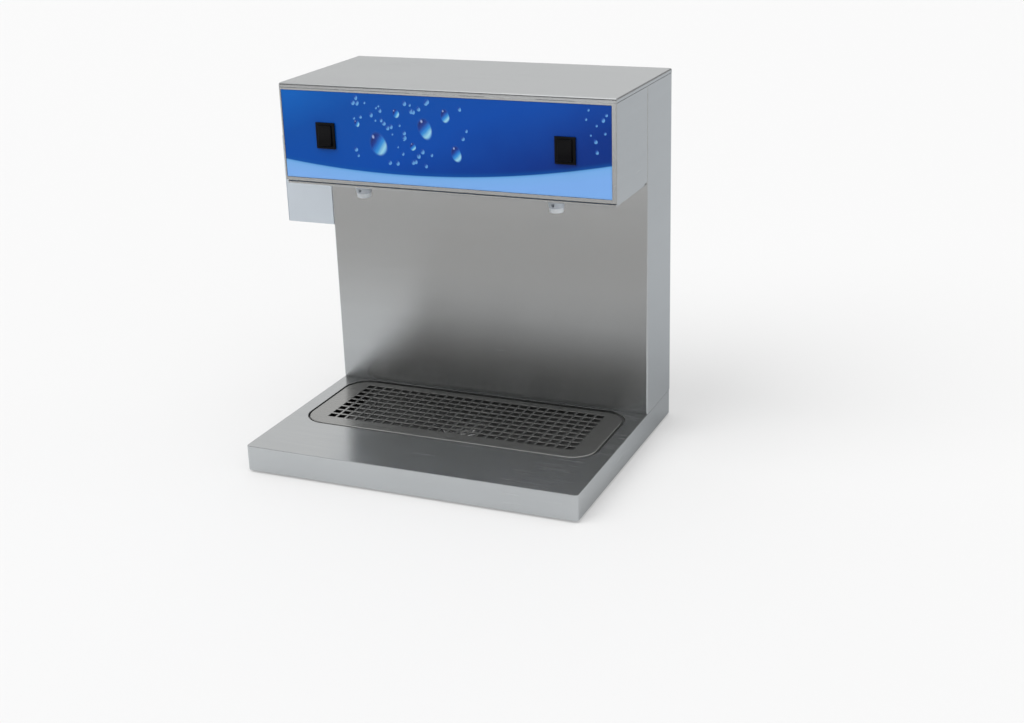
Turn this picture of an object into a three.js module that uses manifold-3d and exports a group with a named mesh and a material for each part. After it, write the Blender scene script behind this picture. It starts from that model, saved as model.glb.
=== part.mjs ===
// Countertop water dispenser with two outlets: a folded stainless base with a drip basin and
// a lift-out grille, a hollow column, and a head that carries the printed panel, two rocker
// switches, two outlet nozzles and the solenoid valves behind them.
//
// Units are millimetres, +Z up, the front of the dispenser faces -Y. The pieces are drawn around
// the centre plane of the column (x = 0), the front of the column (y = 0) and the counter (z = 0).
// The whole group is then moved so that its box is centred on x = 0, y = 0.

import * as THREE from 'three';
import { mergeVertices } from 'three/addons/utils/BufferGeometryUtils.js';
import Module from 'manifold-3d';

const wasm = await Module();
wasm.setup();

// ---------------------------------------------------------------- driving dimensions

const gap = 0.3; // clearance between pieces that touch
const sheet = 1.2; // stainless sheet thickness

const bodyWidth = 420;
const baseFront = -244; // front of the base
const columnBack = 91; // back of the base and of the column
const footHeight = 3;
const baseTop = 34; // top of the base
const totalHeight = 441;

const shellHalf = bodyWidth / 2; // column, head and base are flush with the top cover
const headFront = -107; // front face of the head frame
const headBottom = 325.2; // lower edge of the head frame
const headRadius = 2.8; // upright front corners of the head and its cover
const headJoint = 2; // shadow joint between the sides of the head and the column
const lipHeight = 5; // down-turned lip of the top cover
const coverUnder = totalHeight - sheet; // underside of the top cover
const shellTop = totalHeight - lipHeight - gap; // the lips of the cover stand on the shells

const panelLeft = -207; // opening of the frame for the printed panel
const panelRight = 204;
const panelLow = 329;
const panelHigh = 433.3;

const trayLow = 320.5; // underside of the plate that closes the head
const trayFront = -105.2;

const switchX = 150;
const switchZ = 381.4;
const bezelWidth = 25;
const bezelHeight = 31;
const rockerWidth = 17;
const rockerHeight = 24;

const outletX = 124;
const outletY = -71;
const outletTip = 301; // lower end of the nozzles

const basinX = 191; // half width of the opening in the base
const basinFront = -153.5;
const basinBack = -2;
const basinRadius = 32;
const ledgeTop = 30.6; // the grille rests here
const basinFloor = 20;

const grilleX = 188.5;
const grilleFront = -151.5;
const grilleBack = -9.5;
const grilleRadius = 29.5;
const grilleTop = baseTop + 0.4; // a touch proud of the base
const grilleThick = 1.6;
const holePitch = 12.6;
const holeSize = 9.6;
const holeColumns = 26;
const holeRows = 9;
const firstRow = -126.2; // centre line of the front row

const drainY = (grilleFront + grilleBack) / 2;

const boxLeft = -279; // electrical box beside the column
const boxRight = -shellHalf - gap;
const boxFront = 0.6;
const boxBack = 66;
const boxLow = 241;
const boxHigh = 353;
const cableY = 34; // hole for the wires between the box and the column
const cableZ = 330;

const inletX = 60;
const inletZ = 72;
const rearSkin = columnBack + gap; // inner face of the rear cover
const rearFace = rearSkin + sheet;
const fittingReach = 14; // how far the water fittings stand out behind

// ---------------------------------------------------------------- solids

// The triangles that have three different corners; a turned body has thin ones on its axis.
function wholeTriangles(corners) {
  const kept = [];
  for (let i = 0; i < corners.length; i += 3) {
    const [a, b, c] = corners.slice(i, i + 3);
    if (a !== b && b !== c && c !== a) kept.push(a, b, c);
  }
  return kept;
}

// A closed three.js geometry as a solid that can be joined and cut.
function solid(geometry) {
  const bare = geometry.index ? geometry.toNonIndexed() : geometry.clone();
  bare.deleteAttribute('normal');
  bare.deleteAttribute('uv');
  const merged = mergeVertices(bare, 1e-4);
  return new wasm.Manifold(new wasm.Mesh({
    numProp: 3,
    vertProperties: new Float32Array(merged.attributes.position.array),
    triVerts: new Uint32Array(wholeTriangles(merged.index.array)),
  }));
}

function join(first, ...others) {
  return others.reduce((whole, other) => whole.add(other), first);
}

function cut(first, ...others) {
  return others.reduce((whole, other) => whole.subtract(other), first);
}

function block(x0, x1, y0, y1, z0, z1) {
  const geometry = new THREE.BoxGeometry(x1 - x0, y1 - y0, z1 - z0);
  geometry.translate((x0 + x1) / 2, (y0 + y1) / 2, (z0 + z1) / 2);
  return solid(geometry);
}

// An upright prism of an outline drawn in X and Y.
function prism(outline, z0, z1, curveSegments = 6) {
  const geometry = new THREE.ExtrudeGeometry(outline, {
    depth: z1 - z0, bevelEnabled: false, curveSegments,
  });
  geometry.translate(0, 0, z0);
  return solid(geometry);
}

// A body of revolution about an upright axis; the profile is a list of [radius, height].
function turned(profile, sides = 24) {
  const points = profile.map(([r, z]) => new THREE.Vector2(r, z));
  const geometry = new THREE.LatheGeometry(points, sides);
  geometry.rotateX(Math.PI / 2);
  return solid(geometry);
}

// An upright rod.
function rod(radius, z0, z1, sides = 24) {
  return turned([[0, z0], [radius, z0], [radius, z1], [0, z1]], sides);
}

// A rod along +Y between two distances.
function rodY(radius, y0, y1, sides = 24) {
  return rod(radius, y0, y1, sides).rotate([-90, 0, 0]);
}

function roundedRect(x0, x1, y0, y1, r) {
  const outline = new THREE.Shape();
  outline.moveTo(x0 + r, y0);
  outline.lineTo(x1 - r, y0);
  outline.absarc(x1 - r, y0 + r, r, -Math.PI / 2, 0, false);
  outline.lineTo(x1, y1 - r);
  outline.absarc(x1 - r, y1 - r, r, 0, Math.PI / 2, false);
  outline.lineTo(x0 + r, y1);
  outline.absarc(x0 + r, y1 - r, r, Math.PI / 2, Math.PI, false);
  outline.lineTo(x0, y0 + r);
  outline.absarc(x0 + r, y0 + r, r, Math.PI, 1.5 * Math.PI, false);
  return outline;
}

function hexagon(acrossFlats) {
  const outline = new THREE.Shape();
  const radius = acrossFlats / Math.sqrt(3);
  for (let i = 0; i < 6; i += 1) {
    const angle = (i * Math.PI) / 3;
    outline[i ? 'lineTo' : 'moveTo'](radius * Math.cos(angle), radius * Math.sin(angle));
  }
  outline.closePath();
  return outline;
}

// A hollow hose or solid cable along a route with rounded bends.
function hose(route, outer, inner, steps, sides = 8) {
  const section = new THREE.Shape().absarc(0, 0, outer, 0, 2 * Math.PI, false);
  if (inner > 0) section.holes.push(new THREE.Path().absarc(0, 0, inner, 0, 2 * Math.PI, true));
  const path = new THREE.CatmullRomCurve3(route.map((p) => new THREE.Vector3(...p)), false, 'centripetal');
  return solid(new THREE.ExtrudeGeometry(section, {
    steps, bevelEnabled: false, extrudePath: path, curveSegments: sides,
  }));
}

// ---------------------------------------------------------------- materials and nodes

const paint = (color, roughness, metalness) => (
  new THREE.MeshStandardMaterial({ color, roughness, metalness })
);
const stainless = paint(0xb4b8ba, 0.32, 1);
const chrome = paint(0xd8dadc, 0.12, 1);
const brass = paint(0xb59a52, 0.35, 1);
const whitePlastic = paint(0xe4e6e8, 0.4, 0);
const blackPlastic = paint(0x161617, 0.42, 0);
const printedBlue = paint(0x124a9c, 0.18, 0);
const greyPaint = paint(0xc0c6cd, 0.45, 0);
const rubber = paint(0x1b1b1b, 0.85, 0);
const clearHose = paint(0xd4dce0, 0.35, 0);
const coilRed = paint(0x8a2018, 0.5, 0);
const greyPlastic = paint(0x6f7375, 0.55, 0);

const dispenser = new THREE.Group();
const sides = { left: -1, right: 1 };

function add(name, body, material, place = [0, 0, 0]) {
  const mesh = body.getMesh();
  const geometry = new THREE.BufferGeometry();
  geometry.setAttribute('position', new THREE.BufferAttribute(mesh.vertProperties, 3));
  geometry.setIndex(new THREE.BufferAttribute(mesh.triVerts, 1));
  geometry.computeVertexNormals();
  const node = new THREE.Mesh(geometry, material);
  node.name = name;
  node.position.set(...place);
  dispenser.add(node);
}

// ---------------------------------------------------------------- base

const baseInner = shellHalf - sheet;
const skirtReturn = 8; // width of the flange turned in under the skirt
const basePlateTop = footHeight + sheet + gap + sheet;
const hoseZ = 10.9; // height of the drain hose

function baseShell() {
  const outside = prism(roundedRect(-shellHalf, shellHalf, baseFront, columnBack, 4), footHeight, baseTop, 4);
  const inside = prism(
    roundedRect(-baseInner, baseInner, baseFront + sheet, columnBack - sheet, 2.8),
    footHeight + sheet, baseTop - sheet, 4,
  );
  const under = block(
    -baseInner + skirtReturn, baseInner - skirtReturn,
    baseFront + sheet + skirtReturn, columnBack - sheet - skirtReturn, 0, footHeight + 2 * sheet,
  );
  const basinMouth = prism(
    roundedRect(-basinX, basinX, basinFront, basinBack, basinRadius), baseTop - 2 * sheet, baseTop + 1,
  );
  const drainWay = rodY(5.3, columnBack - 4, columnBack + 4, 16).translate([0, 0, hoseZ]);
  return cut(outside, inside, under, basinMouth, drainWay);
}

function basePlate() {
  const edge = baseInner - gap;
  const low = footHeight + sheet + gap;
  const plate = prism(
    roundedRect(-edge, edge, baseFront + sheet + gap, columnBack - sheet - gap, 2.5), low, low + sheet, 3,
  );
  return cut(plate, ...feet.map(([, x, y]) => rod(4.3, 0, 10, 16).translate([x, y, 0])));
}

// Push-in rubber foot: pad, neck through the base plate, and a head that holds it.
function foot() {
  const plateLow = footHeight + sheet + gap;
  return turned([
    [0, 0], [9.6, 0], [10.5, 1], [10.5, plateLow - gap], [4, plateLow - gap],
    [4, basePlateTop + gap], [5.6, basePlateTop + gap], [4.6, basePlateTop + 2.4], [0, basePlateTop + 2.4],
  ], 14);
}

const feet = [
  ['foot_front_left', -182, baseFront + 28],
  ['foot_front_right', 182, baseFront + 28],
  ['foot_rear_left', -182, columnBack - 28],
  ['foot_rear_right', 182, columnBack - 28],
];

add('base_shell', baseShell(), stainless);
add('base_bottom_plate', basePlate(), stainless);
feet.forEach(([name, x, y]) => add(name, foot(), rubber, [x, y, 0]));

// ---------------------------------------------------------------- drip basin, grille and drain

// Pressed pan: a flange under the base top, a step that carries the grille on three sides,
// and a tub that reaches the rear edge, where the finger gap behind the grille is.
function dripBasin() {
  const wall = 1;
  const flangeTop = baseTop - sheet - gap;
  const ledgeWide = 10;
  const tub = [-basinX + ledgeWide, basinX - ledgeWide, basinFront + ledgeWide, basinBack - 0.8];
  const flange = prism(
    roundedRect(-basinX - 8, basinX + 8, basinFront - 8, basinBack + 8, basinRadius + 8),
    flangeTop - wall, flangeTop,
  );
  const step = prism(
    roundedRect(-basinX - wall, basinX + wall, basinFront - wall, basinBack + wall, basinRadius + wall),
    ledgeTop - wall, flangeTop,
  );
  const pan = prism(
    roundedRect(tub[0] - wall, tub[1] + wall, tub[2] - wall, tub[3] + wall, 25), basinFloor - wall, flangeTop,
  );
  const stepSpace = prism(
    roundedRect(-basinX, basinX, basinFront, basinBack, basinRadius), ledgeTop, baseTop,
  );
  const panSpace = prism(roundedRect(...tub, 24), basinFloor, baseTop);
  const drainHole = rod(20, 0, basinFloor + 1, 24).translate([0, drainY, 0]);
  return cut(join(flange, step, pan), stepSpace, panSpace, drainHole);
}

// Punched plate with square holes and a plain border, its rim turned down to stand on the step.
function dripGrille() {
  const low = ledgeTop + gap;
  const inner = grilleX - grilleThick;
  const plate = prism(
    roundedRect(-grilleX, grilleX, grilleFront, grilleBack, grilleRadius), low, grilleTop, 5,
  );
  const hollow = prism(
    roundedRect(-inner, inner, grilleFront + grilleThick, grilleBack - grilleThick, grilleRadius - grilleThick),
    low - 1, grilleTop - grilleThick, 5,
  );
  const holes = [];
  for (let column = 0; column < holeColumns; column += 1) {
    for (let row = 0; row < holeRows; row += 1) {
      const x = (column - (holeColumns - 1) / 2) * holePitch - holeSize / 2;
      const y = firstRow + row * holePitch - holeSize / 2;
      holes.push(block(x, x + holeSize, y, y + holeSize, low - 1, grilleTop + 1));
    }
  }
  return cut(plate, hollow, ...holes);
}

// Threaded drain cup with a flange on the basin floor and a spout towards the rear.
function drainBody() {
  const low = basePlateTop + 0.8;
  const cup = turned([
    [0, low], [19.6, low], [19.6, basinFloor + gap], [27, basinFloor + gap], [25.5, basinFloor + 1.6],
    [17.2, basinFloor + 1.6], [17.2, low + 1.4], [0, low + 1.4],
  ], 24);
  const spout = rodY(3, 18.2, 38, 10).translate([0, 0, hoseZ]);
  const bore = rodY(1.8, 10, 40, 8).translate([0, 0, hoseZ]);
  return cut(join(cup, spout), bore);
}

// Lift-out strainer: a low perforated dome with a skirt that drops into the drain cup.
function drainStrainer() {
  const low = basinFloor - 1.5;
  const rim = basinFloor + 1.6 + gap;
  const dome = turned([
    [15.6, low], [16.6, low], [16.6, rim], [20.5, rim], [19.6, rim + 1.2], [13, rim + 2.3],
    [4, rim + 2.8], [0, rim + 2.8], [0, rim + 1.6], [4, rim + 1.6], [12.6, rim + 1.1], [15.6, rim],
    [15.6, low],
  ], 16);
  const slots = [];
  for (let i = 0; i < 8; i += 1) {
    slots.push(block(5.5, 12.5, -1.3, 1.3, rim - 1, rim + 6).rotate([0, 0, i * 45]));
  }
  return cut(dome, ...slots);
}

function drainNut() {
  const low = 14.3;
  const high = basinFloor - 1 - gap;
  return cut(prism(hexagon(48), low, high, 1), rod(19.9, low - 1, high + 1, 28));
}

// Bulkhead spout through the rear of the base for the waste hose.
function drainOutlet() {
  return turned([
    [2, columnBack - 24], [3, columnBack - 24], [3, columnBack - 3], [4.9, columnBack - 3],
    [4.9, columnBack + gap], [9.5, columnBack + gap], [9.5, columnBack + 4], [6.4, columnBack + 4],
    [5.4, columnBack + fittingReach], [2, columnBack + fittingReach], [2, columnBack - 24],
  ], 16).rotate([-90, 0, 0]);
}

const hoseStart = drainY + 29.5;
const hoseFinish = columnBack - 4;

add('drip_basin', dripBasin(), stainless);
add('drip_grille', dripGrille(), stainless);
add('drain_body', drainBody(), chrome, [0, drainY, 0]);
add('drain_strainer', drainStrainer(), chrome, [0, drainY, 0]);
add('drain_nut', drainNut(), whitePlastic, [0, drainY, 0]);
add('drain_outlet', drainOutlet(), whitePlastic, [0, 0, hoseZ]);
add('drain_hose', hose([[0, hoseStart, hoseZ], [0, hoseFinish, hoseZ]], 4.6, 3.3, 1), clearHose);

// ---------------------------------------------------------------- column and rear cover

const coverScrews = [];
for (const x of [-198, 198]) {
  for (const z of [60, 235, 410]) coverScrews.push([x, z]);
}

// Folded sheet: front and two sides, with flanges turned in at the rear and on the base.
function columnShell() {
  const low = baseTop + gap;
  const inner = shellHalf - sheet;
  const outside = prism(roundedRect(-shellHalf, shellHalf, 0, columnBack, 2), low, shellTop, 4);
  const inside = prism(
    roundedRect(-inner, inner, sheet, columnBack - sheet, 2 - sheet), low + sheet, shellTop + 1, 4,
  );
  const rearMouth = block(-inner + 18, inner - 18, columnBack - 3, columnBack + 3, low - 1, shellTop + 1);
  const floorMouth = block(-inner + 14, inner - 14, sheet + 14, columnBack + 3, low - 1, low + 2 * sheet);
  const headWindow = block(-inner + 14, inner - 14, -1, 3, headBottom + 14, shellTop - 14);
  const boxWay = rodX(9, -shellHalf - 2, -inner + 2).translate([0, cableY, cableZ]);
  const screwHoles = coverScrews.map(([x, z]) => rodY(2.3, columnBack - 4, columnBack + 2, 12).translate([x, 0, z]));
  return cut(outside, inside, rearMouth, floorMouth, headWindow, boxWay, ...screwHoles);
}

// A rod along X between two positions.
function rodX(radius, x0, x1, around = 20) {
  return rod(radius, x0, x1, around).rotate([0, 90, 0]);
}

// Flat cover with rows of cooling slots, screwed on the flanges of the column.
function rearCover() {
  const half = shellHalf - 1.5;
  const plate = block(-half, half, rearSkin, rearFace, baseTop + 2, shellTop);
  const openings = [];
  for (let row = 0; row < 4; row += 1) {
    for (const x of [-105, 0, 105]) {
      openings.push(block(x - 35, x + 35, columnBack - 1, rearFace + 1, 352 + row * 14, 356 + row * 14));
    }
  }
  for (const side of Object.values(sides)) {
    openings.push(rodY(8.3, columnBack - 1, rearFace + 1, 20).translate([side * inletX, 0, inletZ]));
  }
  const screwHoles = coverScrews.map(([x, z]) => rodY(2.3, columnBack - 1, rearFace + 1, 12).translate([x, 0, z]));
  return cut(plate, ...openings, ...screwHoles);
}

// Pan-head screw, drawn upright with its head down and its tip at +Z.
function screw(length) {
  return turned([
    [0, -2.2], [2.4, -2.2], [3.7, -1], [3.7, -gap], [2, -gap], [2, length], [0, length],
  ], 10);
}

add('column_shell', columnShell(), stainless);
add('rear_cover', rearCover(), stainless);
coverScrews.forEach(([x, z], i) => {
  add(`rear_cover_screw_${i + 1}`, screw(8).rotate([90, 0, 0]), chrome, [x, rearFace, z]);
});

// ---------------------------------------------------------------- head

// Folded sheet: frame around the printed panel and two sides that meet the column.
function headShell() {
  const inner = shellHalf - sheet;
  const outside = prism(
    roundedRect(-shellHalf, shellHalf, headFront, 40, headRadius), headBottom, shellTop, 4,
  );
  const inside = prism(
    roundedRect(-inner, inner, headFront + sheet, 50, headRadius - sheet), headBottom - 1, shellTop + 1, 4,
  );
  const behind = block(-shellHalf - 1, shellHalf + 1, -headJoint, 60, headBottom - 1, shellTop + 1);
  const mouth = block(panelLeft, panelRight, headFront - 1, headFront + 2, panelLow, panelHigh);
  return cut(outside, inside, behind, mouth);
}

// Thick printed panel: its face fills the frame and its rebate stands behind it.
function frontPanel() {
  const face = block(
    panelLeft + gap, panelRight - gap, headFront + 0.4, headFront + 2, panelLow + gap, panelHigh - gap,
  );
  const rebate = block(
    panelLeft - 0.6, panelRight + 1, headFront + sheet + gap, headFront + sheet + gap + 1.6,
    panelLow - 1.5, panelHigh + 2,
  );
  const holes = Object.values(sides).map((side) => block(
    side * switchX - 11, side * switchX + 11, headFront - 2, headFront + 6, switchZ - 15, switchZ + 15,
  ));
  return cut(join(face, rebate), ...holes);
}

// Shallow tray that closes the head from below, its walls standing inside the frame. The front
// wall is set back behind a hem, so a shadow line runs between the frame and the hem.
function headTray() {
  const half = shellHalf - sheet - 1;
  const wallTop = headBottom + 12;
  const wallFront = trayFront + 2;
  const hem = block(-half, half, trayFront, wallFront + 1, trayLow, trayLow + 3.2);
  const outside = join(block(-half, half, wallFront, -1, trayLow, wallTop), hem);
  const inside = block(-half + sheet, half - sheet, wallFront + sheet, -1 - sheet, trayLow + sheet, wallTop + 1);
  const holes = Object.values(sides).map((side) => (
    rod(6.4, trayLow - 1, trayLow + 3, 20).translate([side * outletX, outletY, 0])
  ));
  return cut(outside, inside, ...holes);
}

// Lid over head and column; its lips turn down on all four sides and meet the shells flush.
function topCover() {
  const low = totalHeight - lipHeight;
  const inner = shellHalf - sheet;
  const outside = prism(
    roundedRect(-shellHalf, shellHalf, headFront, rearFace, headRadius), low, totalHeight, 4,
  );
  const inside = prism(
    roundedRect(-inner, inner, headFront + sheet, rearFace - sheet, headRadius - sheet), low - 1, coverUnder, 4,
  );
  return cut(outside, inside);
}

add('head_shell', headShell(), stainless);
add('front_panel', frontPanel(), printedBlue);
add('head_bottom_plate', headTray(), stainless);
add('top_cover', topCover(), stainless);

// ---------------------------------------------------------------- rocker switches

const panelFace = headFront + 0.4;
const bezelFront = panelFace - gap - 2;
const pivotY = panelFace + 1.5; // the rocker turns about a line along X here
const restTilt = 5; // degrees; the lower half of the rocker stands out at rest

// Snap-in body with a bezel in front of the panel and two terminals behind.
function switchBody() {
  const bezel = block(-bezelWidth / 2, bezelWidth / 2, bezelFront, panelFace - gap, -bezelHeight / 2, bezelHeight / 2);
  const can = block(-10.7, 10.7, bezelFront + 1, panelFace + 21, -14.7, 14.7);
  const room = block(
    -rockerWidth / 2 - 0.6, rockerWidth / 2 + 0.6, bezelFront - 1, pivotY + 8,
    -rockerHeight / 2 - 0.8, rockerHeight / 2 + 0.8,
  );
  const blades = [-6, 6].map((z) => block(-3.2, 3.2, panelFace + 20, panelFace + 29, z - 0.4, z + 0.4));
  return join(cut(join(bezel, can), room), ...blades);
}

// Thick rocker pad with a shallow dish across its face, drawn about its pivot.
function rocker() {
  const front = bezelFront - pivotY - 2.6;
  const half = rockerHeight / 2;
  const outline = new THREE.Shape();
  outline.moveTo(front, -half);
  outline.quadraticCurveTo(front + 1.4, 0, front, half);
  outline.lineTo(-1, half);
  outline.lineTo(3.2, 4);
  outline.lineTo(3.2, -4);
  outline.lineTo(-1, -half);
  outline.closePath();
  const geometry = new THREE.ExtrudeGeometry(outline, {
    depth: rockerWidth, bevelEnabled: false, curveSegments: 6,
  });
  geometry.translate(0, 0, -rockerWidth / 2);
  // outline (u, v) becomes (y, z) and the depth runs along X
  geometry.applyMatrix4(new THREE.Matrix4().set(0, 0, 1, 0, 1, 0, 0, 0, 0, 1, 0, 0, 0, 0, 0, 1));
  return solid(geometry).rotate([-restTilt, 0, 0]);
}

for (const [side, sign] of Object.entries(sides)) {
  add(`switch_body_${side}`, switchBody(), blackPlastic, [sign * switchX, 0, switchZ]);
  add(`switch_rocker_${side}`, rocker(), blackPlastic, [sign * switchX, pivotY, switchZ]);
}

// ---------------------------------------------------------------- outlets and valves

const valveLow = 362;
const valveHigh = 382;
const inletPortZ = 372;
const coilTop = 414;
const bracketTop = valveLow - gap;

// White nozzle: tapered spout with a collar under the tray, a threaded stem and a hose barb.
function nozzle() {
  const collarTop = trayLow - gap;
  const spout = turned([
    [5.6, outletTip], [8.2, outletTip], [8.7, outletTip + 5], [9.2, outletTip + 5.4], [10.6, collarTop],
    [6, collarTop], [6, trayLow + 14], [4, trayLow + 14], [4, trayLow + 24], [2.6, trayLow + 24],
    [2.6, outletTip + 12], [5.6, outletTip + 8], [5.6, outletTip],
  ], 20);
  const vent = rodY(1.4, -14, -4, 10).translate([-1.6, 0, outletTip + 12.6]);
  return cut(spout, vent);
}

function nozzleNut() {
  const low = trayLow + sheet + gap;
  return cut(prism(hexagon(20), low, low + 6, 1), rod(6.3, low - 1, low + 7, 20));
}

// Brass valve body: block with an outlet spigot below, an inlet spigot behind and the
// armature tube on top. The plunger chamber is open to both spigots.
function valveBody() {
  const brick = block(-14, 14, -14, 14, valveLow, valveHigh);
  const outlet = rod(4, valveLow - 12, valveLow + 1, 16);
  const inlet = rodY(4, 13, 27, 16).translate([0, 0, inletPortZ]);
  const tube = rod(6.4, valveHigh - 1, coilTop, 20);
  const chamber = rod(5.5, valveLow + 4, coilTop - 2, 20);
  const outletBore = rod(2.4, valveLow - 13, valveLow + 5, 12);
  const inletBore = rodY(2.4, 4, 28, 12).translate([0, 0, inletPortZ]);
  return cut(join(brick, outlet, inlet, tube), chamber, outletBore, inletBore);
}

function coil() {
  const low = valveHigh + gap;
  const shell = block(-12, 12, -13, 13, low, coilTop - 1);
  const terminals = [-5, 5].map((x) => block(x - 3, x + 3, 12, 21, 394, 394.8));
  return cut(join(shell, ...terminals), rod(6.7, low - 1, coilTop, 20));
}

function plunger() {
  return turned([
    [0, valveLow + 4.4], [4.2, valveLow + 4.4], [5.1, valveLow + 6], [5.1, coilTop - 10],
    [2.6, coilTop - 10], [2.6, coilTop - 14], [0, coilTop - 14],
  ], 20);
}

// Bridge over the tray that carries both valves; the outlet spigots pass through it.
function valveBracket() {
  const half = outletX + 26;
  const low = trayLow + sheet + gap;
  const y0 = outletY - 15;
  const y1 = outletY + 15;
  const bridge = block(-half, half, y0, y1, bracketTop - sheet, bracketTop);
  const legs = [-half, half - sheet].map((x) => block(x, x + sheet, y0, y1, low, bracketTop));
  const toes = [[-half, -half + 14], [half - 14, half]].map(([x0, x1]) => block(x0, x1, y0, y1, low, low + sheet));
  const holes = Object.values(sides).map((side) => (
    rod(7.2, bracketTop - 3, bracketTop + 1, 20).translate([side * outletX, outletY, 0])
  ));
  return cut(join(bridge, ...legs, ...toes), ...holes);
}

// Short hose between the barb of the nozzle and the outlet of the valve.
function outletHose() {
  return cut(rod(6.3, trayLow + 15, valveLow - 2.5, 16), rod(4.3, trayLow, valveLow, 16));
}

// Bulkhead fitting through the rear cover: hose barb inside, threaded spout outside.
function inletFitting() {
  return turned([
    [2.5, columnBack - 13], [3.9, columnBack - 13], [3.9, columnBack - 5], [11, columnBack - 5],
    [11, rearSkin - gap], [8, rearSkin - gap], [8, columnBack + fittingReach - 1],
    [7.2, columnBack + fittingReach], [2.5, columnBack + fittingReach], [2.5, columnBack - 13],
  ], 16).rotate([-90, 0, 0]);
}

function inletNut() {
  const low = rearFace + gap;
  return cut(prism(hexagon(22), low, low + 5, 1), rod(8.3, low - 1, low + 6, 24)).rotate([-90, 0, 0]);
}

// Water hose from the bulkhead fitting up the column and forward to the valve.
function supplyHose(sign) {
  const y = outletY + 18;
  const route = [
    [sign * outletX, y, inletPortZ],
    [sign * outletX, y + 40, inletPortZ],
    [sign * outletX, 20, inletPortZ - 3],
    [sign * (outletX - 2), 42, inletPortZ - 26],
    [sign * (outletX - 8), 48, 290],
    [sign * (inletX + 26), 46, 170],
    [sign * inletX, 40, 110],
    [sign * inletX, 44, 86],
    [sign * inletX, 58, inletZ],
    [sign * inletX, 70, inletZ],
    [sign * inletX, columnBack - 7, inletZ],
  ];
  return hose(route, 6.4, 4.6, 24, 4);
}

for (const [side, sign] of Object.entries(sides)) {
  const above = [sign * outletX, outletY, 0];
  const entry = [sign * inletX, 0, inletZ];
  add(`outlet_nozzle_${side}`, nozzle(), whitePlastic, above);
  add(`nozzle_nut_${side}`, nozzleNut(), whitePlastic, above);
  add(`outlet_hose_${side}`, outletHose(), clearHose, above);
  add(`valve_body_${side}`, valveBody(), brass, above);
  add(`valve_coil_${side}`, coil(), coilRed, above);
  add(`valve_plunger_${side}`, plunger(), chrome, above);
  add(`inlet_fitting_${side}`, inletFitting(), brass, entry);
  add(`inlet_nut_${side}`, inletNut(), brass, entry);
  add(`supply_hose_${side}`, supplyHose(sign), clearHose);
}
add('valve_bracket', valveBracket(), stainless);

// ---------------------------------------------------------------- electrical box

const lidScrews = [];
for (const y of [boxFront + 8, boxBack - 8]) {
  for (const z of [boxLow + 8, boxHigh - 8]) lidScrews.push([y, z]);
}
const lidInner = boxLeft + 2.2 + sheet; // inner face of the lid
const boxWall = 1.5;
const glandPlace = [boxLeft + 32, 50, 0];

// Box with an open left side and a corner post behind each lid screw.
function sideBox() {
  const left = lidInner + gap;
  const outside = block(left, boxRight, boxFront, boxBack, boxLow, boxHigh);
  const inside = block(
    left - 1, boxRight - boxWall, boxFront + boxWall, boxBack - boxWall, boxLow + boxWall, boxHigh - boxWall,
  );
  const posts = lidScrews.map(([y, z]) => block(
    left, left + 10, y < 30 ? boxFront + 0.5 : y - 4, y < 30 ? y + 4 : boxBack - 0.5,
    z < 300 ? boxLow + 0.5 : z - 4, z < 300 ? z + 4 : boxHigh - 0.5,
  ));
  const taps = lidScrews.map(([y, z]) => rodX(2.3, left - 1, left + 8.5, 12).translate([0, y, z]));
  const cableWay = rodX(9, boxRight - 4, boxRight + 2).translate([0, cableY, cableZ]);
  const glandHole = rod(8.3, boxLow - 2, boxLow + 4, 20).translate(glandPlace);
  return cut(join(cut(outside, inside), ...posts), ...taps, cableWay, glandHole);
}

function sideBoxLid() {
  const plate = block(lidInner - sheet, lidInner, boxFront, boxBack, boxLow, boxHigh);
  return cut(plate, ...lidScrews.map(([y, z]) => (
    rodX(2.3, lidInner - 5, lidInner + 5, 12).translate([0, y, z])
  )));
}

// Transformer: laminated core with its winding.
function transformer() {
  const core = block(-16, 16, -19, 19, 0, 40);
  const winding = block(-22, 22, -13, 13, 7, 33);
  return join(core, winding);
}

function terminalBlock() {
  const strip = block(-20, 20, -7, 7, 0, 14);
  const wells = [-15, -5, 5, 15].map((x) => rod(2.6, 9, 15, 10).translate([x, 0, 0]));
  return cut(strip, ...wells);
}

function cableGland() {
  const low = boxLow - gap;
  return turned([
    [4, low - 12], [7, low - 12], [8.6, low - 9], [8.6, low - 5], [11, low - 5], [11, low],
    [8, low], [8, low + 10], [4, low + 10], [4, low - 12],
  ], 16);
}

function glandNut() {
  const low = boxLow + boxWall + gap;
  return cut(prism(hexagon(20.5), low, low + 4, 1), rod(8.3, low - 1, low + 5, 20));
}

// Wires from the box through the side of the column to the switch and the coil of one side.
function wireLoom(sign) {
  const start = [boxRight - 8, cableY + sign * 5, cableZ];
  const inColumn = [-shellHalf + 12, cableY + sign * 5, cableZ];
  const climb = [-shellHalf + 24, 30 + sign * 6, 358];
  const behind = [-180 + sign * 3, 16 + sign * 6, 400];
  const across = sign > 0 ? [[-60, 18, 416], [90, 16, 414]] : [[-172, -16, 414]];
  const last = [sign * switchX, -44, 408];
  const finish = [sign * switchX, panelFace + 34, switchZ + 2];
  return hose([start, inColumn, climb, behind, ...across, last, finish], 2.4, 0, 20, 3);
}

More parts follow.
